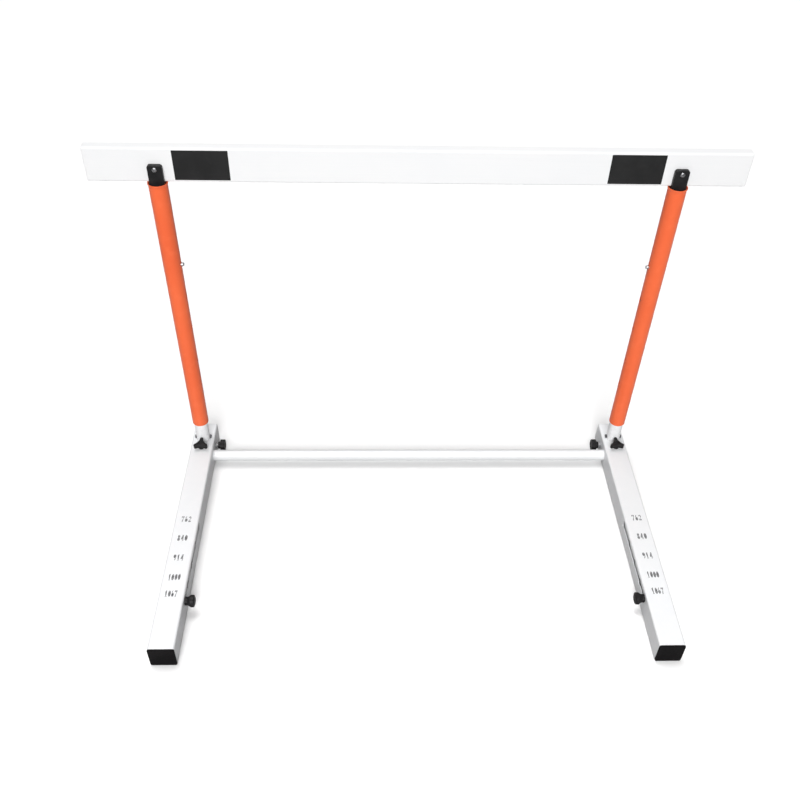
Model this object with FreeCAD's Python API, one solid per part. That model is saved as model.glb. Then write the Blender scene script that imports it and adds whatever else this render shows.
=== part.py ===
import FreeCAD, Part
import math
import os

# Athletics hurdle with adjustable height and sliding counterweights.
# Millimetres. +Z up, X along the crossbar, the long ends of the feet point to -Y.
# Origin: on the floor, under the centre of the whole object's box.
# Everything is built for the left side (-X) and mirrored for the right side.

V = FreeCAD.Vector
os.makedirs("parts", exist_ok=True)

# ---------------------------------------------------------------- dimensions
BAR_LEN = 1200.0          # crossbar, end to end
BAR_H = 65.0              # crossbar, height of its face
BAR_T = 22.0              # crossbar, thickness
BAR_WALL = 2.5
BAR_TOP = 762.0           # top edge at the lowest setting
BAR_R = 3.0               # rounded long edges
BAR_CAP = 2.0             # end cap's flange
SPACING = 950.0           # uprights, centre to centre
FOOT_W = 50.0             # square tube of the feet
FOOT_WALL = 2.0
FOOT_R = 4.0
FOOT_LEN = 602.0          # with the front end cap
FOOT_CAP = 3.0            # end cap's flange
UP_Y = 255.0              # uprights' axis
CROSS_Y = UP_Y - 33.0     # cross tube's axis
CROSS_Z = FOOT_W / 2
CROSS_R = 12.5
CROSS_WALL = 1.5
INNER_R = 15.0            # inner (fixed) upright tube, 30 x 1.5
INNER_WALL = 1.5
INNER_TOP = 575.0
OUTER_R = 17.5            # outer (sliding) upright tube, 35 x 1.5
OUTER_WALL = 1.5
OUTER_Z0 = 102.0
OUTER_Z1 = BAR_TOP - BAR_H - 0.5
HEIGHTS = [762.0, 840.0, 914.0, 1000.0, 1067.0]
BUTTON_Z = 521.0          # snap button, fixed height
BUTTON_R = 4.0
BUTTON_TIP = 23.0         # from the upright's axis
HOLE_R = 4.2
WEIGHT_Y = [UP_Y - 251.0, UP_Y - 301.0, UP_Y - 351.0, UP_Y - 399.0, UP_Y - 438.0]
WEIGHT_Z = 35.0           # screw and slot, above the middle of the side face
SLOT_W = 10.0             # slot that the weight's screw runs in
NOTCH_R = 7.8             # round widening at each setting
WEIGHT_L = 120.0
WEIGHT_W = 45.4
STUD_R = 4.0              # M8 clamp screws
THREAD_GAP = 0.05
PLUG_TOP = 732.0
TONGUE_W = 27.0           # top plug's tongue, in front of the crossbar
TONGUE_T = 8.0
BOLT_Z = 724.0
BOLT_R = 2.5              # M5
PIN_R = 4.0

XL = -SPACING / 2
BAR_Y0 = UP_Y             # crossbar's front face
BAR_Y1 = BAR_Y0 + BAR_T
BAR_Z0 = BAR_TOP - BAR_H
Y_FRONT = -FOOT_LEN / 2
Y_REAR = FOOT_LEN / 2
X_IN = XL + FOOT_W / 2    # left foot's inner side face


# ------------------------------------------------------------------ helpers
def box(x0, x1, y0, y1, z0, z1):
    return Part.makeBox(x1 - x0, y1 - y0, z1 - z0, V(x0, y0, z0))


def cyl(p, d, r, h):
    return Part.makeCylinder(r, h, V(*p), V(*d))


def tube(p, d, r, wall, h):
    d = V(*d)
    p = V(*p)
    return Part.makeCylinder(r, h, p, d).cut(
        Part.makeCylinder(r - wall, h + 2, p - d * 1.0, d)
    )


def mirror(s):
    m = s.mirror(V(0, 0, 0), V(1, 0, 0))
    return m


def rounded_rect_face(w, h, r):
    """Face in the XZ plane (normal Y), centred on the origin."""
    a, b = w / 2, h / 2
    k = r * (1 - math.sqrt(0.5))
    e = []
    pts = [
        (V(-a + r, 0, -b), V(a - r, 0, -b)),
        (V(a, 0, -b + r), V(a, 0, b - r)),
        (V(a - r, 0, b), V(-a + r, 0, b)),
        (V(-a, 0, b - r), V(-a, 0, -b + r)),
    ]
    mids = [V(a - k, 0, -b + k), V(a - k, 0, b - k), V(-a + k, 0, b - k), V(-a + k, 0, -b + k)]
    for i in range(4):
        e.append(Part.makeLine(pts[i][0], pts[i][1]))
        e.append(Part.Arc(pts[i][1], mids[i], pts[(i + 1) % 4][0]).toShape())
    return Part.Face(Part.Wire(e))


def rr_prism_y(cx, cz, w, h, r, y0, y1):
    f = rounded_rect_face(w, h, r)
    f.translate(V(cx, y0, cz))
    return f.extrude(V(0, y1 - y0, 0))


def rr_prism_x(cy, cz, t, h, r, x0, x1):
    """Rounded section in the YZ plane, along X."""
    f = rounded_rect_face(t, h, r)
    f.rotate(V(0, 0, 0), V(0, 0, 1), 90)
    f.translate(V(x0, cy, cz))
    return f.extrude(V(x1 - x0, 0, 0))


def hexagon(p, d, af, h):
    """Hexagonal prism, across flats af, from p along d."""
    r = af / math.sqrt(3)
    pts = [V(r * math.cos(math.radians(60 * i)), r * math.sin(math.radians(60 * i)), 0) for i in range(7)]
    s = Part.Face(Part.makePolygon(pts)).extrude(V(0, 0, h))
    c = Part.makeCone(r + h * 0.9, r * 0.93, h + (r - r * 0.93), V(0, 0, 0))
    s = s.common(c) if not c.isNull() else s
    s.Placement = FreeCAD.Placement(V(*p), FreeCAD.Rotation(V(0, 0, 1), V(*d)))
    return s


def place(s, p, d, spin=0.0):
    s = s.copy()
    s.rotate(V(0, 0, 0), V(0, 0, 1), spin)
    s.Placement = FreeCAD.Placement(V(*p), FreeCAD.Rotation(V(0, 0, 1), V(*d))).multiply(s.Placement)
    return s


def fillet(s, r, pick):
    e = [x for x in s.Edges if pick(x)]
    return s.makeFillet(r, e) if e else s


def revolve(pts, p, d):
    """Solid of revolution from (r, h) points, axis from p along d."""
    w = Part.makePolygon([V(a, 0, b) for a, b in pts] + [V(pts[0][0], 0, pts[0][1])])
    s = Part.Face(w).revolve(V(0, 0, 0), V(0, 0, 1), 360)
    if not isinstance(s, Part.Solid):
        s = Part.Solid(s.Shells[0]) if s.Shells else s
    return place(s, p, d)


def write(name, shapes):
    if not isinstance(shapes, (list, tuple)):
        shapes = [shapes]
    solids = []
    for s in shapes:
        solids += s.Solids
    for s in solids:
        if not s.isValid():
            print("INVALID", name)
        if s.Volume < 0:
            print("NEGATIVE", name)
    out = solids[0] if len(solids) == 1 else Part.makeCompound(solids)
    out.exportStep("parts/%s.step" % name)
    print("%-26s %2d solid(s) %10.1f mm3" % (name, len(solids), sum(s.Volume for s in solids)))


def pair(name, s):
    """Two like pieces in one node."""
    s = s if isinstance(s, (list, tuple)) else [s]
    write(name, list(s) + [mirror(x) for x in s])


def sides(name, s):
    """One node for each side."""
    write("left_" + name, s)
    write("right_" + name, mirror(s))


# --------------------------------------------------------------------- feet
ty0, ty1 = Y_FRONT + FOOT_CAP, Y_REAR
inner_w = FOOT_W - 2 * FOOT_WALL
foot = rr_prism_y(XL, FOOT_W / 2, FOOT_W, FOOT_W, FOOT_R, ty0, ty1)
foot = foot.cut(rr_prism_y(XL, FOOT_W / 2, inner_w, inner_w, FOOT_R - FOOT_WALL, ty0 - 1, ty1 + 1))
# socket for the inner upright, screw hole over the cross tube's end
foot = foot.cut(cyl((XL, UP_Y, FOOT_W - 10), (0, 0, 1), INNER_R + 0.2, 20))
foot = foot.cut(cyl((XL, CROSS_Y, FOOT_W - 5), (0, 0, 1), STUD_R + 0.3, 10))
# inner side wall: cross tube, upright's clamp screw, slot with five widenings
foot = foot.cut(cyl((X_IN - 5, CROSS_Y, CROSS_Z), (1, 0, 0), CROSS_R + 0.2, 10))
foot = foot.cut(cyl((X_IN - 5, UP_Y, CROSS_Z), (1, 0, 0), STUD_R + 0.3, 10))
slot = box(X_IN - 5, X_IN + 5, WEIGHT_Y[-1], WEIGHT_Y[0], WEIGHT_Z - SLOT_W / 2, WEIGHT_Z + SLOT_W / 2)
for y in WEIGHT_Y:
    slot = slot.fuse(cyl((X_IN - 5, y, WEIGHT_Z), (1, 0, 0), NOTCH_R, 10))
foot = foot.cut(slot.removeSplitter())
sides("foot_tube", foot)

# moulded end caps: the front ones have a flange over the tube's end, the rear
# ones sit inside it, and both hold by a ribbed plug
plug_w = inner_w


def foot_cap(front):
    if front:
        fl = rr_prism_y(XL, FOOT_W / 2, FOOT_W, FOOT_W, FOOT_R, Y_FRONT, ty0)
        fl = fillet(fl, 1.2, lambda e: abs(e.BoundBox.YMax - Y_FRONT) < 1e-6)
        core = rr_prism_y(XL, FOOT_W / 2, plug_w - 4, plug_w - 4, 2, ty0, ty0 + 20)
        ribs = [rr_prism_y(XL, FOOT_W / 2, plug_w, plug_w, FOOT_R - FOOT_WALL, ty0 + a, ty0 + a + 2) for a in (3, 9, 15)]
        hollow = rr_prism_y(XL, FOOT_W / 2, plug_w - 9, plug_w - 9, 2, ty0 + 1.0, ty0 + 21)
    else:
        fl = rr_prism_y(XL, FOOT_W / 2, plug_w, plug_w, FOOT_R - FOOT_WALL, ty1 - 4.0, ty1 - 1.0)
        core = rr_prism_y(XL, FOOT_W / 2, plug_w - 4, plug_w - 4, 2, ty1 - 22, ty1 - 4.0)
        ribs = [rr_prism_y(XL, FOOT_W / 2, plug_w, plug_w, FOOT_R - FOOT_WALL, ty1 - a - 2, ty1 - a) for a in (8, 13, 18)]
        hollow = rr_prism_y(XL, FOOT_W / 2, plug_w - 9, plug_w - 9, 2, ty1 - 23, ty1 - 3.0)
    s = fl.fuse([core] + ribs).cut(hollow)
    return s.removeSplitter()


pair("front_foot_caps", foot_cap(True))
pair("rear_foot_caps", foot_cap(False))

# --------------------------------------------------------------- cross tube
cx = SPACING / 2 + 20.0
write("cross_tube", tube((-cx, CROSS_Y, CROSS_Z), (1, 0, 0), CROSS_R, CROSS_WALL, 2 * cx))

# ------------------------------------------------- inner (fixed) uprights
inner = tube((XL, UP_Y, FOOT_WALL), (0, 0, 1), INNER_R, INNER_WALL, INNER_TOP - FOOT_WALL)
inner = inner.cut(cyl((XL, UP_Y, BUTTON_Z), (1, 0, 0), HOLE_R, 30))
pin_z = FOOT_W + PIN_R
inner = inner.cut(cyl((XL - 25, UP_Y, pin_z), (1, 0, 0), PIN_R, 50))
sides("inner_upright", inner)

pin = cyl((XL - INNER_R - 3.6, UP_Y, pin_z), (1, 0, 0), PIN_R, 2 * INNER_R + 7.2)
pin = fillet(pin, 1.0, lambda e: len(e.Vertexes) == 1)
pair("upright_stop_pins", pin)

# moulded glide pressed into the top of each inner upright
gr = OUTER_R - OUTER_WALL - 0.05
glide = revolve(
    [(9.0, INNER_TOP - 20), (INNER_R - INNER_WALL, INNER_TOP - 20), (INNER_R - INNER_WALL, INNER_TOP),
     (gr, INNER_TOP), (gr, INNER_TOP + 7), (gr - 1.5, INNER_TOP + 9), (9.0, INNER_TOP + 9)],
    (XL, UP_Y, 0), (0, 0, 1))
pair("inner_upright_glides", glide)

# spring clip: a strip bent to a U, with the button riveted to one arm
ST, SW = 0.8, 9.0
ua, ub = 10.4, -12.6                      # arm faces, from the upright's axis
zb = BUTTON_Z - 52.0
zt = BUTTON_Z + 10.0
uc = (ua + ub + ST) / 2
ro = (ua + ST - ub) / 2
arm_a = box(XL + ua, XL + ua + ST, UP_Y - SW / 2, UP_Y + SW / 2, zb, zt)
arm_b = box(XL + ub, XL + ub + ST, UP_Y - SW / 2, UP_Y + SW / 2, zb, zt)
ring = cyl((XL + uc, UP_Y - SW / 2, zb), (0, 1, 0), ro, SW).cut(
    cyl((XL + uc, UP_Y - SW, zb), (0, 1, 0), ro - ST, 2 * SW))
ring = ring.common(box(XL - 20, XL + 20, UP_Y - 20, UP_Y + 20, zb - 20, zb))
clip = arm_a.fuse([arm_b, ring]).removeSplitter()
clip = clip.cut(cyl((XL, UP_Y, BUTTON_Z), (1, 0, 0), 2.05, 20))
pair("snap_springs", clip)

stem = Part.makeCylinder(BUTTON_R, BUTTON_TIP - (ua + ST) - 1.0, V(0, 0, ua + ST + 1.0))
stem = fillet(stem, 3.2, lambda e: len(e.Vertexes) == 1 and abs(e.BoundBox.ZMax - BUTTON_TIP) < 1e-6)
button = stem.fuse([
    Part.makeCylinder(5.0, 1.0, V(0, 0, ua + ST)),
    Part.makeCylinder(2.0, ST, V(0, 0, ua)),
    Part.makeCylinder(3.5, 1.0, V(0, 0, ua - 1.0)),
]).removeSplitter()
sides("snap_button", place(button, (XL, UP_Y, BUTTON_Z), (1, 0, 0)))

# ------------------------------------------------- outer (sliding) uprights
ri = OUTER_R - OUTER_WALL
outer = revolve(
    [(ri, OUTER_Z0), (OUTER_R - 0.4, OUTER_Z0), (OUTER_R, OUTER_Z0 + 0.4), (OUTER_R, OUTER_Z1 - 5),
     (OUTER_R + 1.2, OUTER_Z1 - 0.8), (OUTER_R + 1.0, OUTER_Z1), (ri + 1.2, OUTER_Z1), (ri, OUTER_Z1 - 5)],
    (XL, UP_Y, 0), (0, 0, 1))
for h in HEIGHTS:
    outer = outer.cut(cyl((XL, UP_Y, BUTTON_Z - (h - HEIGHTS[0])), (1, 0, 0), HOLE_R, 30))
sides("outer_upright", outer)

bush = revolve(
    [(INNER_R + 0.05, OUTER_Z0 + 0.5), (ri, OUTER_Z0 + 0.5), (ri, OUTER_Z0 + 30), (INNER_R + 0.05, OUTER_Z0 + 30)],
    (XL, UP_Y, 0), (0, 0, 1))
pair("outer_upright_bushings", bush)

# moulded top plug: round spigot in the tube, and a flat tongue with rounded
# corners that rises from it in front of the crossbar
spig = cyl((XL, UP_Y, OUTER_Z1 - 62), (0, 0, 1), ri, 55.0)
spig = fillet(spig, 1.5, lambda e: len(e.Vertexes) == 1 and e.BoundBox.ZMax < OUTER_Z1 - 55)
a, z0, ty = TONGUE_W / 2, OUTER_Z1 - 10.0, BAR_Y0 - TONGUE_T
tongue = box(XL - a, XL + a, ty, BAR_Y0, z0, PLUG_TOP)
tongue = fillet(tongue, 5.0, lambda e: e.BoundBox.YLength > TONGUE_T - 0.1 and e.BoundBox.ZMin > PLUG_TOP - 0.1)
tongue = fillet(tongue, 1.5, lambda e: e.BoundBox.YMax < ty + 0.01 and e.BoundBox.ZMax > z0 + 1)
plug = spig.fuse(tongue)
# web behind the front rim that stiffens the tongue's root
plug = plug.fuse(box(XL - 2.0, XL + 2.0, UP_Y - 13.0, ty + 2, OUTER_Z1 - 10, OUTER_Z1 - 3.0)).removeSplitter()
plug = plug.cut(cyl((XL, UP_Y, OUTER_Z1 - 63), (0, 0, 1), ri - 3.0, 51))
plug = plug.cut(cyl((XL, UP_Y - 30, BOLT_Z), (0, 1, 0), BOLT_R + 0.1, 60))
sides("top_plug", plug)

# ------------------------------------------------------------------ crossbar
bx = BAR_LEN / 2 - BAR_CAP
byc, bzc = (BAR_Y0 + BAR_Y1) / 2, BAR_Z0 + BAR_H / 2
bar = rr_prism_x(byc, bzc, BAR_T, BAR_H, BAR_R, -bx, bx)
cell_h = (BAR_H - 2 * BAR_WALL - 2.0) / 2
for s in (-1, 1):
    bar = bar.cut(rr_prism_x(byc, bzc + s * (cell_h / 2 + 1.0), BAR_T - 2 * BAR_WALL, cell_h, 1.0, -bx - 1, bx + 1))
for x in (XL, -XL):
    bar = bar.cut(cyl((x, BAR_Y0 - 5, BOLT_Z), (0, 1, 0), BOLT_R + 0.2, 40))
write("crossbar", bar)

cap = rr_prism_x(byc, bzc, BAR_T, BAR_H, BAR_R, -BAR_LEN / 2, -bx)
cap = fillet(cap, 1.5, lambda e: abs(e.BoundBox.XMax + BAR_LEN / 2) < 1e-6)
for s in (-1, 1):
    t = rr_prism_x(byc, bzc + s * (cell_h / 2 + 1.0), BAR_T - 2 * BAR_WALL, cell_h, 1.0, -bx, -bx + 14)
    t = t.cut(rr_prism_x(byc, bzc + s * (cell_h / 2 + 1.0), BAR_T - 2 * BAR_WALL - 4, cell_h - 4, 1.0, -bx + 0.5, -bx + 15))
    cap = cap.fuse(t)
pair("crossbar_end_caps", cap.removeSplitter())

# thin black bands on the bar's front face, just inside the uprights
band = box(-442.5, -343, BAR_Y0 - 0.4, BAR_Y0, BAR_Z0 + 4, BAR_TOP - 4)
band = fillet(band, 1.0, lambda e: abs(e.BoundBox.YMax - e.BoundBox.YMin - 0.4) < 1e-6)
pair("crossbar_bands", band)

# bolt, sleeve, washer and lock nut that hold the bar to each plug
head_y = BAR_Y0 - TONGUE_T
bolt_head = revolve([(0, 0), (4.75, 0), (4.75, 0.5), (4.2, 1.7), (3.1, 2.5), (1.8, 2.75), (0, 2.75)], (XL, head_y, BOLT_Z), (0, -1, 0))
bolt_head = bolt_head.cut(hexagon((XL, head_y - 3.4, BOLT_Z), (0, 1, 0), 3.0, 2.4))
bolt = bolt_head.fuse(cyl((XL, head_y, BOLT_Z), (0, 1, 0), BOLT_R, BAR_Y1 + 7.5 - head_y))
pair("bar_bolts", bolt.removeSplitter())
sleeve = tube((XL, BAR_Y0 + BAR_WALL, BOLT_Z), (0, 1, 0), 3.45, 0.75, BAR_T - 2 * BAR_WALL)
pair("bar_sleeves", sleeve)
pair("bar_washers", tube((XL, BAR_Y1, BOLT_Z), (0, 1, 0), 6.0, 3.3, 1.2))
nut = hexagon((XL, BAR_Y1 + 1.2, BOLT_Z), (0, 1, 0), 8.0, 4.2)
nut = nut.fuse(cyl((XL, BAR_Y1 + 1.2, BOLT_Z), (0, 1, 0), 3.7, 5.2))
nut = nut.cut(cyl((XL, BAR_Y1, BOLT_Z), (0, 1, 0), BOLT_R, 10))
pair("bar_lock_nuts", nut.removeSplitter())

# --------------------------------------------------------- counterweights
wy = WEIGHT_Y[-1]
weight = rr_prism_y(XL, FOOT_W / 2, WEIGHT_W, WEIGHT_W, 3.0, wy - WEIGHT_L / 2, wy + WEIGHT_L / 2)
weight = fillet(weight, 1.5, lambda e: abs(e.BoundBox.YMax - e.BoundBox.YMin) < 1e-6)
wx = XL + WEIGHT_W / 2
weight = weight.cut(cyl((wx - 22, wy, WEIGHT_Z), (1, 0, 0), STUD_R + THREAD_GAP, 30))
sides("counterweight", weight)


def stud(length):
    s = Part.makeCylinder(STUD_R, length)
    return s.makeChamfer(0.8, [e for e in s.Edges if len(e.Vertexes) == 1 and abs(e.BoundBox.ZMax) < 1e-6])


def fluted(r, z0, z1, n, fr, depth, edge):
    s = Part.makeCylinder(r, z1 - z0, V(0, 0, z0))
    s = fillet(s, edge, lambda e: len(e.Vertexes) == 1)
    for i in range(n):
        a = 2 * math.pi * i / n
        s = s.cut(Part.makeCylinder(fr, z1 - z0 + 2, V((r + fr - depth) * math.cos(a), (r + fr - depth) * math.sin(a), z0 - 1)))
    return s


# weight's knob: neck and fluted head moulded on an M8 screw.
# Built along +Z, where 0 is the foot's inner side face.
z_in = -(FOOT_W - WEIGHT_W) / 2 - 21.0
wstud = stud(12.0 - z_in)
wstud.translate(V(0, 0, z_in))
wknob = fluted(12.0, 10.6, 18.0, 16, 1.8, 0.6, 1.6)
wknob = wknob.fuse(revolve(
    [(0, 0.4), (8.1, 0.4), (8.5, 0.9), (8.3, 4.6), (8.9, 6.8), (10.2, 9.0), (11.2, 10.4), (11.2, 11.4), (0, 11.4)],
    (0, 0, 0), (0, 0, 1)))
wknob = wknob.fuse(revolve([(0, 17.6), (9.8, 17.6), (8.6, 18.9), (6.4, 19.4), (5.4, 18.6), (0, 18.6)], (0, 0, 0), (0, 0, 1))).removeSplitter()
wknob = wknob.cut(Part.makeCylinder(STUD_R, 13.0, V(0, 0, -1.0)))
sides("weight_knob", place(wknob, (X_IN, wy, WEIGHT_Z), (1, 0, 0), 15))
sides("weight_screw", place(wstud, (X_IN, wy, WEIGHT_Z), (1, 0, 0)))

# ------------------------------------------------- clamp for each upright
# hexagon nut welded on the foot's inner side face, screw through it that
# presses on the inner upright
usn = hexagon((X_IN, UP_Y, CROSS_Z), (1, 0, 0), 13.0, 5.5)
usn = usn.cut(cyl((X_IN - 1, UP_Y, CROSS_Z), (1, 0, 0), STUD_R + THREAD_GAP, 10))
pair("upright_clamp_nuts", usn)
tip = -(FOOT_W / 2 - INNER_R) + 0.05
ustud = stud(16.0 - tip)
ustud.translate(V(0, 0, tip))
uknob = fluted(13.2, 11.3, 21.9, 10, 2.8, 1.2, 1.8)
uknob = uknob.fuse(revolve([(0, 6.2), (7.6, 6.2), (8.0, 6.6), (8.0, 10.1), (9.4, 11.4), (0, 11.4)], (0, 0, 0), (0, 0, 1)))
uknob = uknob.cut(revolve([(0, 22.0), (8.0, 22.0), (7.0, 20.9), (0, 20.9)], (0, 0, 0), (0, 0, 1))).removeSplitter()
uknob = uknob.cut(Part.makeCylinder(STUD_R, 12.0, V(0, 0, 4.0)))
sides("upright_clamp_knob", place(uknob, (X_IN, UP_Y, CROSS_Z), (1, 0, 0), 18))
sides("upright_clamp_screw", place(ustud, (X_IN, UP_Y, CROSS_Z), (1, 0, 0)))

# --------------------------------------- clamp for each end of the cross tube
# nut welded under the foot's top wall, three-lobed knob above the foot
cn = hexagon((XL, CROSS_Y, FOOT_W - FOOT_WALL), (0, 0, -1), 13.0, 6.5)
cn = cn.cut(cyl((XL, CROSS_Y, FOOT_W - 12), (0, 0, 1), STUD_R + THREAD_GAP, 12))
pair("cross_clamp_nuts", cn)
tip = CROSS_Z + CROSS_R + 0.05 - FOOT_W
cstud = stud(12.0 - tip)
cstud.translate(V(0, 0, tip))
LOBE_D, LOBE_R, WAIST = 13.7, 3.6, 7.7
rc = (LOBE_R ** 2 - LOBE_D ** 2 + LOBE_D * WAIST - WAIST ** 2) / (2 * WAIST - LOBE_D - 2 * LOBE_R)
dc = rc + WAIST


def pol(r, a):
    return V(r * math.cos(math.radians(a)), r * math.sin(math.radians(a)), 0)


edges = []
for i in range(3):
    a = 90 + 120 * i
    lobe = pol(LOBE_D, a)
    c0, c1 = pol(dc, a - 60), pol(dc, a + 60)
    t0 = lobe + (c0 - lobe) * (LOBE_R / (rc + LOBE_R))
    t1 = lobe + (c1 - lobe) * (LOBE_R / (rc + LOBE_R))
    nxt = pol(LOBE_D, a + 120)
    t2 = nxt + (c1 - nxt) * (LOBE_R / (rc + LOBE_R))
    edges.append(Part.Arc(t0, pol(LOBE_D + LOBE_R, a), t1).toShape())
    edges.append(Part.Arc(t1, pol(WAIST, a + 60), t2).toShape())
lobes = Part.Face(Part.Wire(edges))
lobes.translate(V(0, 0, 6.0))
cknob = lobes.extrude(V(0, 0, 10.5))
cknob = fillet(cknob, 1.6, lambda e: abs(e.BoundBox.ZMin - 16.5) < 1e-6)
cknob = fillet(cknob, 1.0, lambda e: abs(e.BoundBox.ZMax - 6.0) < 1e-6)
cknob = cknob.fuse(revolve([(0, 0.5), (6.6, 0.5), (6.9, 0.9), (7.0, 6.5), (0, 6.5)], (0, 0, 0), (0, 0, 1)))
cknob = cknob.fuse(revolve([(0, 16.0), (5.6, 16.0), (5.6, 16.9), (4.9, 17.5), (0, 17.6)], (0, 0, 0), (0, 0, 1))).removeSplitter()
cknob = cknob.cut(Part.makeCylinder(STUD_R, 13.0, V(0, 0, -1.0)))
sides("cross_clamp_knob", place(cknob, (XL, CROSS_Y, FOOT_W), (0, 0, 1)))
sides("cross_clamp_screw", place(cstud, (XL, CROSS_Y, FOOT_W), (0, 0, 1)))
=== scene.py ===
import math
import random

import bmesh
import bpy
from mathutils import Matrix, Vector


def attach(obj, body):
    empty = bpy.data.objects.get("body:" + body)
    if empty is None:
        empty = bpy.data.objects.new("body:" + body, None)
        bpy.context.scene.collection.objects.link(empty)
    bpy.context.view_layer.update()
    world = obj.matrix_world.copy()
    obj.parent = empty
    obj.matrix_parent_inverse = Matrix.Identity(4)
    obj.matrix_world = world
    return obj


# Athletics hurdle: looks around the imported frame. Metres, +Z up, the uprights
# stand at the rear (+Y) ends of the feet.

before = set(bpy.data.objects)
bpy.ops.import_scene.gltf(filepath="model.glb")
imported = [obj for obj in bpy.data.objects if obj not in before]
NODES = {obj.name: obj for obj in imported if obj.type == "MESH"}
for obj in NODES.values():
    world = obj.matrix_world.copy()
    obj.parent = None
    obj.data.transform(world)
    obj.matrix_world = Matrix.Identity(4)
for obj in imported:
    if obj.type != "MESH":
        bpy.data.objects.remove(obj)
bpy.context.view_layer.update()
scene = bpy.context.scene

# ------------------------------------------------------------------- camera
CAM_F = 870.49            # focal length in pixels of an 800 pixel wide frame
CAM_AT = (-0.08683, -1.18550, 1.46708)
CAM_YAW, CAM_PITCH, CAM_ROLL = (math.radians(a) for a in (2.4530, 42.0482, 1.7100))


def make_camera():
    cy, sy = math.cos(CAM_YAW), math.sin(CAM_YAW)
    cp, sp = math.cos(CAM_PITCH), math.sin(CAM_PITCH)
    cr, sr = math.cos(CAM_ROLL), math.sin(CAM_ROLL)
    fwd = Vector((sy * cp, cy * cp, -sp))
    right = Vector((cy, -sy, 0.0))
    up = right.cross(fwd)
    r = cr * right + sr * up
    u = -sr * right + cr * up
    m = Matrix((
        (r.x, u.x, -fwd.x, CAM_AT[0]),
        (r.y, u.y, -fwd.y, CAM_AT[1]),
        (r.z, u.z, -fwd.z, CAM_AT[2]),
        (0, 0, 0, 1),
    ))
    data = bpy.data.cameras.new("camera")
    data.sensor_fit = "HORIZONTAL"
    data.sensor_width = 36.0
    data.lens = CAM_F / 800.0 * 36.0
    data.clip_start = 0.05
    data.clip_end = 60.0
    cam = bpy.data.objects.new("camera", data)
    scene.collection.objects.link(cam)
    cam.matrix_world = m
    scene.camera = cam


make_camera()


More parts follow.
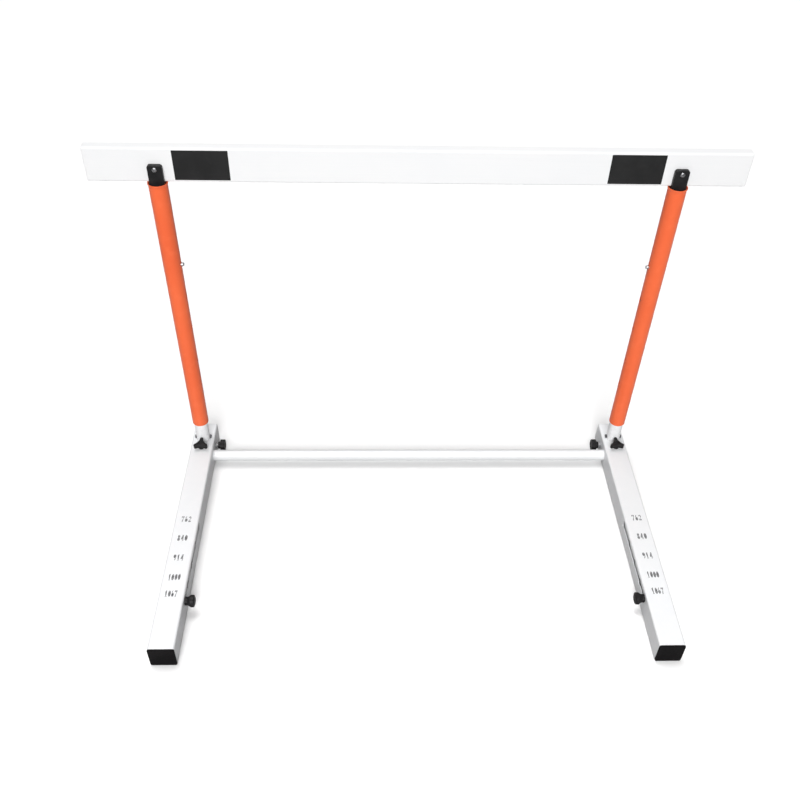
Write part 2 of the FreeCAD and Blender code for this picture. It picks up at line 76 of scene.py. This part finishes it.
# ---------------------------------------------------------------- materials
class Mat:
    """A procedural material in the object's own coordinates (metres)."""

    def __init__(self, name):
        self.m = bpy.data.materials.new(name)
        self.m.use_nodes = True
        self.t = self.m.node_tree
        self.t.nodes.clear()
        self.out = self.add("ShaderNodeOutputMaterial")
        self.b = self.add("ShaderNodeBsdfPrincipled")
        self.link(self.b.outputs[0], self.out.inputs[0])
        self.co = self.add("ShaderNodeTexCoord").outputs["Object"]

    def add(self, kind, **kw):
        n = self.t.nodes.new(kind)
        for k, v in kw.items():
            setattr(n, k, v)
        return n

    def link(self, a, b):
        self.t.links.new(a, b)

    def put(self, value, socket):
        if isinstance(value, bpy.types.NodeSocket):
            self.link(value, socket)
        else:
            socket.default_value = value

    def stretched(self, scale, turn=(0, 0, 0)):
        n = self.add("ShaderNodeMapping")
        n.inputs["Scale"].default_value = scale
        n.inputs["Rotation"].default_value = turn
        self.link(self.co, n.inputs["Vector"])
        return n.outputs[0]

    def noise(self, scale, detail=2.0, rough=0.5, co=None, distortion=0.0):
        n = self.add("ShaderNodeTexNoise")
        n.inputs["Scale"].default_value = scale
        n.inputs["Detail"].default_value = detail
        n.inputs["Roughness"].default_value = rough
        n.inputs["Distortion"].default_value = distortion
        self.link(co or self.co, n.inputs["Vector"])
        return n.outputs[0]

    def cells(self, scale, feature="F1", co=None):
        n = self.add("ShaderNodeTexVoronoi", feature=feature)
        n.inputs["Scale"].default_value = scale
        self.link(co or self.co, n.inputs["Vector"])
        return n.outputs["Distance"]

    def band(self, value, lo, hi, a=0.0, b=1.0, smooth=True):
        n = self.add("ShaderNodeMapRange")
        if smooth:
            n.interpolation_type = "SMOOTHSTEP"
        self.put(value, n.inputs[0])
        for i, v in zip((1, 2, 3, 4), (lo, hi, a, b)):
            n.inputs[i].default_value = v
        return n.outputs[0]

    def math(self, op, a, b=0.0, clamp=False):
        n = self.add("ShaderNodeMath", operation=op, use_clamp=clamp)
        self.put(a, n.inputs[0])
        self.put(b, n.inputs[1])
        return n.outputs[0]

    def mix(self, f, a, b):
        n = self.add("ShaderNodeMix", data_type="RGBA")
        self.put(f, n.inputs[0])
        for v, i in ((a, 6), (b, 7)):
            if isinstance(v, (tuple, list)):
                v = (*v, 1.0) if len(v) == 3 else v
            self.put(v, n.inputs[i])
        return n.outputs[2]

    def axis(self, which):
        n = self.add("ShaderNodeSeparateXYZ")
        self.link(self.co, n.inputs[0])
        return n.outputs[which]

    def edges(self, radius, lo=0.02, hi=0.25):
        """1 along convex and concave edges, 0 on open faces."""
        bev = self.add("ShaderNodeBevel", samples=6)
        bev.inputs["Radius"].default_value = radius
        geo = self.add("ShaderNodeNewGeometry")
        dot = self.add("ShaderNodeVectorMath", operation="DOT_PRODUCT")
        self.link(bev.outputs[0], dot.inputs[0])
        self.link(geo.outputs["Normal"], dot.inputs[1])
        return self.band(self.math("SUBTRACT", 1.0, dot.outputs["Value"]), lo, hi)

    def soften(self, radius):
        """Rounded look along sharp edges, as the first normal of the bump chain."""
        bev = self.add("ShaderNodeBevel", samples=6)
        bev.inputs["Radius"].default_value = radius
        self.normal = bev.outputs[0]

    normal = None

    def bump(self, height, distance, strength=1.0):
        n = self.add("ShaderNodeBump")
        n.inputs["Strength"].default_value = strength
        n.inputs["Distance"].default_value = distance
        self.link(height, n.inputs["Height"])
        if self.normal is not None:
            self.link(self.normal, n.inputs["Normal"])
        self.normal = n.outputs[0]

    def done(self, colour, rough, metallic=0.0, ior=1.5, coat=0.0, coat_rough=0.1, spec=0.5):
        i = self.b.inputs
        if isinstance(colour, (tuple, list)):
            colour = (*colour, 1.0)
        self.put(colour, i["Base Color"])
        self.put(rough, i["Roughness"])
        i["Metallic"].default_value = metallic
        i["IOR"].default_value = ior
        i["Specular IOR Level"].default_value = spec
        i["Coat Weight"].default_value = coat
        i["Coat Roughness"].default_value = coat_rough
        if self.normal is not None:
            self.link(self.normal, i["Normal"])
        return self.m


def powder_coat(name, base, deep, light, primer, rough, dirt=0.0):
    """Sprayed and baked coat on steel tube: orange peel, slow tone changes,
    fine scuffs, thin spots at the edges, and dust low down on the feet."""
    k = Mat(name)
    k.soften(0.0006)
    slow = k.noise(7.0, 3.0, 0.55)
    mid = k.noise(60.0, 3.0, 0.6)
    col = k.mix(k.band(slow, 0.3, 0.7), deep, base)
    col = k.mix(k.band(mid, 0.45, 0.8, 0.0, 0.5), col, light)
    edge = k.edges(0.0011)
    chips = k.band(k.noise(420.0, 3.0, 0.7), 0.56, 0.66)
    col = k.mix(k.math("MULTIPLY", edge, k.math("MULTIPLY", chips, 0.55)), col, primer)
    scuff = k.band(k.noise(1.0, 4.0, 0.75, k.stretched((900.0, 70.0, 260.0), (0.2, 0.5, 0.9))), 0.66, 0.74)
    scuff = k.math("MULTIPLY", scuff, k.band(k.noise(16.0, 2.0), 0.5, 0.68))
    col = k.mix(k.math("MULTIPLY", scuff, 0.22), col, primer)
    if dirt:
        low = k.band(k.axis(2), 0.0, 0.010, 1.0, 0.0)
        low = k.math("MULTIPLY", low, k.band(k.noise(55.0, 4.0, 0.7), 0.35, 0.7))
        col = k.mix(k.math("MULTIPLY", low, dirt), col, (0.30, 0.27, 0.24))
    r = k.math("ADD", k.band(k.noise(120.0, 3.0, 0.6), 0.3, 0.7, rough - 0.05, rough + 0.06), k.math("MULTIPLY", scuff, 0.18))
    k.bump(k.noise(620.0, 2.0, 0.5), 0.00022, 0.32)
    k.bump(k.noise(2600.0, 2.0, 0.5), 0.00005, 0.25)
    k.bump(scuff, 0.00003, 0.5)
    return k.done(col, r, ior=1.5)


def bar_paint(name):
    """Extruded plastic crossbar: draw lines along its length, light haze."""
    k = Mat(name)
    k.soften(0.0006)
    slow = k.noise(5.0, 3.0, 0.5)
    col = k.mix(k.band(slow, 0.3, 0.7), (0.855, 0.86, 0.87), (0.875, 0.875, 0.878))
    lines = k.noise(1.0, 3.0, 0.6, k.stretched((3.0, 900.0, 900.0)))
    col = k.mix(k.band(lines, 0.42, 0.62, 0.0, 0.35), col, (0.84, 0.85, 0.86))
    spots = k.band(k.noise(300.0, 3.0, 0.7), 0.68, 0.74)
    rub = k.band(k.noise(1.0, 3.0, 0.7, k.stretched((45.0, 500.0, 640.0), (0.3, 0.1, 0.2))), 0.67, 0.74)
    rub = k.math("MULTIPLY", rub, k.band(k.noise(9.0, 2.0), 0.5, 0.65))
    col = k.mix(k.math("MULTIPLY", spots, 0.14), col, (0.5, 0.49, 0.47))
    col = k.mix(k.math("MULTIPLY", rub, 0.16), col, (0.52, 0.52, 0.52))
    edge = k.edges(0.0012)
    col = k.mix(k.math("MULTIPLY", edge, k.band(k.noise(240.0, 3.0, 0.7), 0.5, 0.7, 0.0, 0.22)), col, (0.62, 0.61, 0.60))
    r = k.math("ADD", k.band(k.noise(85.0, 3.0, 0.6), 0.3, 0.7, 0.28, 0.38), k.math("MULTIPLY", rub, 0.2))
    k.bump(lines, 0.00006, 0.35)
    k.bump(k.noise(900.0, 2.0), 0.00005, 0.3)
    k.bump(rub, 0.00003, 0.5)
    return k.done(col, r, ior=1.49)


def moulded(name, base, light, rough, grain=1500.0, depth=0.00007, dust=0.35, spec=0.16):
    """Injection moulded plastic: spark-eroded grain, dust in it, edges polished to a lower roughness and also
    lightened in colour as a painted sheen.
    """
    k = Mat(name)
    k.soften(0.0004)
    col = k.mix(k.band(k.noise(45.0, 3.0, 0.6), 0.35, 0.7), base, light)
    edge = k.edges(0.0009)
    # Painted sheen: the colour along convex and concave edges is lifted towards a much lighter tone, standing in for
    # highlights.
    col = k.mix(k.math("MULTIPLY", edge, k.band(k.noise(260.0, 3.0, 0.7), 0.35, 0.65, 0.1, 0.55)), col, tuple(c * 2.6 + 0.01 for c in light))
    motes = k.band(k.noise(950.0, 3.0, 0.75), 0.66, 0.72)
    motes = k.math("MULTIPLY", motes, k.band(k.noise(38.0, 2.0), 0.45, 0.65))
    col = k.mix(k.math("MULTIPLY", motes, dust), col, (0.26, 0.25, 0.24))
    r = k.math("SUBTRACT", k.band(k.noise(300.0, 3.0, 0.6), 0.3, 0.7, rough - 0.06, rough + 0.08), k.math("MULTIPLY", edge, 0.08))
    k.bump(k.noise(grain, 2.0, 0.6), depth, 0.45)
    k.bump(k.noise(grain * 0.13, 2.0), depth * 2, 0.18)
    return k.done(col, r, ior=1.5, spec=spec)


def steel(name, base, dark, rough, turned=900.0, stain=0.0):
    """Zinc plated or bright steel: tool marks, cloudy plating, dull edges."""
    k = Mat(name)
    k.soften(0.0002)
    cloud = k.noise(160.0, 4.0, 0.65)
    col = k.mix(k.band(cloud, 0.35, 0.68), base, dark)
    if stain:
        col = k.mix(k.band(k.noise(330.0, 4.0, 0.7), 0.6, 0.72, 0.0, stain), col, (0.20, 0.13, 0.08))
    r = k.band(k.noise(240.0, 3.0, 0.6), 0.3, 0.7, rough - 0.08, rough + 0.12)
    k.bump(k.noise(1.0, 2.0, 0.5, k.stretched((turned, 220.0, turned))), 0.00002, 0.4)
    k.bump(k.noise(1500.0, 2.0), 0.00002, 0.3)
    return k.done(col, r, metallic=1.0)


def casting(name):
    """Painted iron casting: coarse skin, thin paint on its edges."""
    k = Mat(name)
    k.soften(0.0006)
    col = k.mix(k.band(k.noise(70.0, 4.0, 0.6), 0.3, 0.7), (0.030, 0.032, 0.035), (0.065, 0.067, 0.07))
    col = k.mix(k.math("MULTIPLY", k.edges(0.0014), k.band(k.noise(300.0, 3.0, 0.7), 0.45, 0.65, 0.0, 0.7)), col, (0.22, 0.20, 0.18))
    k.bump(k.noise(380.0, 4.0, 0.7), 0.0004, 0.5)
    return k.done(col, k.band(k.noise(150.0), 0.3, 0.7, 0.5, 0.7))


def tape(name):
    """Black self-adhesive film on the bar: faint stretch lines, lifted rim."""
    k = Mat(name)
    k.soften(0.0003)
    col = k.mix(k.band(k.noise(24.0, 3.0, 0.6), 0.3, 0.7), (0.016, 0.016, 0.0165), (0.021, 0.021, 0.0215))
    rub = k.band(k.noise(1.0, 4.0, 0.75, k.stretched((120.0, 300.0, 800.0), (0.1, 0.6, 0.2))), 0.64, 0.74)
    rub = k.math("MULTIPLY", rub, k.band(k.noise(20.0, 2.0), 0.46, 0.66))
    col = k.mix(k.math("MULTIPLY", rub, 0.3), col, (0.14, 0.14, 0.145))
    motes = k.band(k.noise(700.0, 3.0, 0.7), 0.69, 0.75)
    col = k.mix(k.math("MULTIPLY", motes, 0.35), col, (0.30, 0.29, 0.28))
    r = k.math("ADD", k.band(k.noise(130.0, 3.0, 0.6), 0.3, 0.7, 0.36, 0.48), k.math("MULTIPLY", rub, 0.12))
    k.bump(k.noise(1.0, 2.0, 0.5, k.stretched((14.0, 200.0, 260.0))), 0.00010, 0.25)
    k.bump(k.noise(1300.0, 2.0), 0.00003, 0.4)
    return k.done(col, r, ior=1.46, spec=0.2)


def stencil_paint(name):
    """Brushed-on number paint: broken cover, soft edges."""
    k = Mat(name)
    cover = k.band(k.noise(820.0, 4.0, 0.7), 0.34, 0.62)
    slow = k.band(k.noise(75.0, 2.0), 0.3, 0.7)
    col = k.mix(cover, (0.30, 0.30, 0.31), (0.085, 0.085, 0.09))
    col = k.mix(k.math("MULTIPLY", slow, 0.5), col, (0.24, 0.24, 0.25))
    k.bump(k.noise(1400.0, 3.0, 0.6), 0.00005, 0.5)
    return k.done(col, k.band(k.noise(500.0), 0.3, 0.7, 0.5, 0.7))


MATS = {
    "white_coat": powder_coat("white_powder_coat", (0.80, 0.807, 0.817), (0.78, 0.79, 0.805), (0.825, 0.827, 0.832), (0.42, 0.41, 0.40), 0.34, dirt=0.5),
    "orange_coat": powder_coat("orange_powder_coat", (0.93, 0.150, 0.042), (0.88, 0.130, 0.034), (0.96, 0.175, 0.055), (0.45, 0.20, 0.13), 0.33),
    # Lit copy of the white coat for the inner uprights: painted light, a higher albedo than the same coat on the feet
    # to make up for the shade the uprights stand in.
    "white_coat_lit_copy": powder_coat("inner_upright_white_coat_lit_copy", (0.89, 0.89, 0.90), (0.87, 0.875, 0.885), (0.91, 0.91, 0.915), (0.42, 0.41, 0.40), 0.30),
    "bar_white": bar_paint("crossbar_white"),
    "band_black": tape("band_film"),
    "cap_black": moulded("cap_plastic", (0.0045, 0.0038, 0.0043), (0.0075, 0.0065, 0.007), 0.50, dust=0.16, spec=0.07),
    "plug_black": moulded("plug_plastic", (0.012, 0.012, 0.0125), (0.019, 0.019, 0.0195), 0.38, grain=1900.0),
    "knob_black": moulded("knob_plastic", (0.010, 0.0095, 0.010), (0.017, 0.016, 0.017), 0.33, grain=2300.0, depth=0.00004),
    "glide_plastic": moulded("glide_nylon", (0.55, 0.55, 0.52), (0.62, 0.62, 0.60), 0.42, dust=0.2),
    "zinc_steel": steel("zinc_plated_steel", (0.66, 0.66, 0.67), (0.52, 0.53, 0.55), 0.30),
    "bolt_steel": steel("bolt_steel", (0.33, 0.33, 0.34), (0.24, 0.24, 0.25), 0.40),
    "pin_steel": steel("pin_steel", (0.16, 0.16, 0.165), (0.10, 0.10, 0.105), 0.42, stain=0.3),
    "spring_steel": steel("spring_steel", (0.40, 0.41, 0.43), (0.28, 0.29, 0.32), 0.32),
    "cast_weight": casting("cast_iron_paint"),
}
NUMBER_PAINT = stencil_paint("number_paint")

FINISH = {
    "white_coat": ["left_foot_tube", "right_foot_tube", "cross_tube"],
    "white_coat_lit_copy": ["left_inner_upright", "right_inner_upright"],
    "orange_coat": ["left_outer_upright", "right_outer_upright"],
    "bar_white": ["crossbar", "crossbar_end_caps"],
    "band_black": ["crossbar_bands"],
    "cap_black": ["front_foot_caps", "rear_foot_caps"],
    "plug_black": ["left_top_plug", "right_top_plug"],
    "knob_black": ["left_weight_knob", "right_weight_knob", "left_upright_clamp_knob", "right_upright_clamp_knob",
                   "left_cross_clamp_knob", "right_cross_clamp_knob"],
    "glide_plastic": ["inner_upright_glides", "outer_upright_bushings"],
    "bolt_steel": ["bar_bolts"],
    "zinc_steel": ["bar_sleeves", "bar_washers", "bar_lock_nuts", "left_snap_button", "right_snap_button",
                   "left_weight_screw", "right_weight_screw", "upright_clamp_nuts", "left_upright_clamp_screw",
                   "right_upright_clamp_screw", "cross_clamp_nuts", "left_cross_clamp_screw", "right_cross_clamp_screw"],
    "pin_steel": ["upright_stop_pins"],
    "spring_steel": ["snap_springs"],
    "cast_weight": ["left_counterweight", "right_counterweight"],
}
seen = set()
for finish, names in FINISH.items():
    for n in names:
        o = NODES[n]
        if not o.data.materials:
            o.data.materials.append(MATS[finish])
        for i in range(len(o.data.materials)):
            o.data.materials[i] = MATS[finish]
        seen.add(n)
missing = sorted(set(NODES) - seen)
if missing:
    raise SystemExit("no finish for %s" % missing)


# ------------------------------------------- height numbers on both feet
def sector(cx, cy, rx, ry, tx, ty, a0, a1, n=14):
    """Part of an oval ring, thick at its sides and thin at top and bottom."""
    out, inn = [], []
    for i in range(n + 1):
        a = math.radians(a0 + (a1 - a0) * i / n)
        out.append((cx + rx * math.cos(a), cy + ry * math.sin(a)))
        inn.append((cx + (rx - tx) * math.cos(a), cy + (ry - ty) * math.sin(a)))
    return out + inn[::-1]


GAP = 9.0
GLYPHS = {
    "0": [sector(0.5, 0.5, 0.5, 0.5, 0.26, 0.10, 90 + GAP, 270 - GAP), sector(0.5, 0.5, 0.5, 0.5, 0.26, 0.10, -90 + GAP, 90 - GAP)],
    "1": [[(0.36, 0.10), (0.64, 0.10), (0.64, 1.0), (0.46, 1.0), (0.10, 0.84), (0.10, 0.78), (0.36, 0.84)],
          [(0.12, 0.0), (0.88, 0.0), (0.88, 0.06), (0.12, 0.06)]],
    "2": [sector(0.5, 0.70, 0.46, 0.30, 0.26, 0.08, 172, 96), sector(0.5, 0.70, 0.46, 0.30, 0.26, 0.08, 84, -28),
          [(0.88, 0.53), (0.66, 0.49), (0.06, 0.17), (0.30, 0.17)],
          [(0.04, 0.0), (0.96, 0.0), (0.98, 0.22), (0.88, 0.13), (0.04, 0.13)]],
    "4": [[(0.52, 1.0), (0.44, 1.0), (0.0, 0.36), (0.0, 0.25), (0.48, 0.25), (0.48, 0.33), (0.12, 0.33), (0.52, 0.88)],
          [(0.56, 0.10), (0.82, 0.10), (0.82, 1.0), (0.56, 1.0)],
          [(0.86, 0.25), (1.0, 0.25), (1.0, 0.33), (0.86, 0.33)],
          [(0.42, 0.0), (0.96, 0.0), (0.96, 0.06), (0.42, 0.06)]],
    "6": [sector(0.5, 0.31, 0.48, 0.31, 0.25, 0.07, -90 + GAP, 90 - GAP), sector(0.5, 0.31, 0.48, 0.31, 0.25, 0.07, 90 + GAP, 270 - GAP),
          sector(0.56, 0.42, 0.54, 0.58, 0.26, 0.06, 92, 158)],
    "7": [[(0.0, 0.86), (0.0, 0.72), (0.08, 0.72), (0.12, 0.86), (0.46, 0.86), (0.46, 1.0), (0.0, 1.0)],
          [(0.54, 1.0), (1.0, 1.0), (1.0, 0.92), (0.76, 0.62), (0.60, 0.62), (0.86, 0.86), (0.54, 0.86)],
          [(0.74, 0.58), (0.58, 0.58), (0.30, 0.24), (0.26, 0.0), (0.56, 0.0), (0.60, 0.30)]],
    "8": [sector(0.5, 0.75, 0.40, 0.25, 0.20, 0.06, -90 + GAP, 90 - GAP), sector(0.5, 0.75, 0.40, 0.25, 0.20, 0.06, 90 + GAP, 270 - GAP),
          sector(0.5, 0.25, 0.48, 0.26, 0.24, 0.06, -90 + GAP, 90 - GAP), sector(0.5, 0.25, 0.48, 0.26, 0.24, 0.06, 90 + GAP, 270 - GAP)],
}
GLYPHS["9"] = [[(1 - x, 1 - y) for x, y in p] for p in GLYPHS["6"]]

MARKS = [("762", 0.011), ("840", -0.039), ("914", -0.089), ("1000", -0.137), ("1067", -0.176)]
DIGIT_H = 0.0150
PAINT_Z = (0.04999, 0.05009)


def height_numbers(name, cx, seed):
    rnd = random.Random(seed)
    bm = bmesh.new()
    for text, y in MARKS:
        pitch = 0.0074 if len(text) == 3 else 0.0062
        w = 0.0054 if len(text) == 3 else 0.0048
        x0 = cx - pitch * (len(text) - 1) / 2
        lean = rnd.uniform(-0.02, 0.02)
        for i, ch in enumerate(text):
            gx = x0 + i * pitch + rnd.uniform(-0.0001, 0.0001)
            gy = y + rnd.uniform(-0.0003, 0.0003)
            for poly in GLYPHS[ch]:
                pts = []
                for px, py in poly:
                    a, b = (px - 0.5) * w, (py - 0.5) * DIGIT_H
                    pts.append((gx + a - b * lean, gy + b + a * lean))
                area = sum(pts[j][0] * pts[(j + 1) % len(pts)][1] - pts[(j + 1) % len(pts)][0] * pts[j][1] for j in range(len(pts)))
                if area < 0:
                    pts.reverse()
                top = [bm.verts.new((p[0], p[1], PAINT_Z[1])) for p in pts]
                bot = [bm.verts.new((p[0], p[1], PAINT_Z[0])) for p in pts]
                n = len(pts)
                faces = [bm.faces.new(top), bm.faces.new(bot[::-1])]
                for j in range(n):
                    bm.faces.new((top[j], bot[j], bot[(j + 1) % n], top[(j + 1) % n]))
                bmesh.ops.triangulate(bm, faces=faces, ngon_method="EAR_CLIP")
    me = bpy.data.meshes.new(name)
    bm.to_mesh(me)
    bm.free()
    me.materials.append(NUMBER_PAINT)
    o = bpy.data.objects.new(name, me)
    scene.collection.objects.link(o)
    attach(o, "base")
    return o


height_numbers("left_height_numbers", -0.476, 3)
height_numbers("right_height_numbers", 0.476, 8)


# ---------------------------------------------------------------- the stage
def make_floor():
    bm = bmesh.new()
    n, r = 96, 14.0
    ring = [bm.verts.new((r * math.cos(2 * math.pi * i / n), r * math.sin(2 * math.pi * i / n), -0.0004)) for i in range(n)]
    bm.faces.new(ring)
    me = bpy.data.meshes.new("floor")
    bm.to_mesh(me)
    bm.free()
    o = bpy.data.objects.new("floor", me)
    scene.collection.objects.link(o)
    m = bpy.data.materials.new("pale_floor")
    m.use_nodes = True
    t = m.node_tree
    b = t.nodes["Principled BSDF"]
    b.inputs["Roughness"].default_value = 0.9
    b.inputs["Specular IOR Level"].default_value = 0.1
    ray = t.nodes.new("ShaderNodeLightPath")
    tone = t.nodes.new("ShaderNodeMix")
    tone.data_type = "RGBA"
    tone.inputs[6].default_value = (0.42, 0.42, 0.42, 1)
    tone.inputs[7].default_value = (0.96, 0.96, 0.96, 1)
    t.links.new(ray.outputs["Is Camera Ray"], tone.inputs[0])
    t.links.new(tone.outputs[2], b.inputs["Base Color"])
    me.materials.append(m)


make_floor()

world = bpy.data.worlds.new("studio")
scene.world = world
world.use_nodes = True
bg = world.node_tree.nodes["Background"]
bg.inputs["Color"].default_value = (1.0, 1.0, 1.0, 1)
bg.inputs["Strength"].default_value = 0.15
backdrop = world.node_tree.nodes.new("ShaderNodeBackground")
backdrop.inputs["Color"].default_value = (1.0, 1.0, 1.0, 1)
backdrop.inputs["Strength"].default_value = 1.0
pick = world.node_tree.nodes.new("ShaderNodeMixShader")
seen_by = world.node_tree.nodes.new("ShaderNodeLightPath")
world.node_tree.links.new(seen_by.outputs["Is Camera Ray"], pick.inputs[0])
world.node_tree.links.new(bg.outputs[0], pick.inputs[1])
world.node_tree.links.new(backdrop.outputs[0], pick.inputs[2])
world.node_tree.links.new(pick.outputs[0], world.node_tree.nodes["World Output"].inputs[0])


def sun(name, elevation, azimuth, power, soft):
    d = bpy.data.lights.new(name, "SUN")
    d.energy = power
    d.angle = math.radians(soft)
    o = bpy.data.objects.new(name, d)
    scene.collection.objects.link(o)
    e, a = math.radians(elevation), math.radians(azimuth)
    toward = Vector((math.sin(a) * math.cos(e), -math.cos(a) * math.cos(e), math.sin(e)))
    o.rotation_euler = toward.to_track_quat("Z", "Y").to_euler()


sun("key", 33.0, -5.0, 1.95, 34.0)
sun("top", 75.0, 216.0, 1.85, 36.0)



def panel(name, at, to, width, power):
    d = bpy.data.lights.new(name, "AREA")
    d.shape = "DISK"
    d.size = width
    d.energy = power
    o = bpy.data.objects.new(name, d)
    scene.collection.objects.link(o)
    o.location = at
    o.rotation_euler = (Vector(at) - Vector(to)).to_track_quat("Z", "Y").to_euler()


panel("fill", (-0.09, -1.75, 1.75), (0.0, 0.15, 0.45), 1.1, 17.0)

scene.view_settings.view_transform = "Standard"
scene.view_settings.look = "None"
scene.view_settings.exposure = 0.0
scene.view_settings.gamma = 1.0
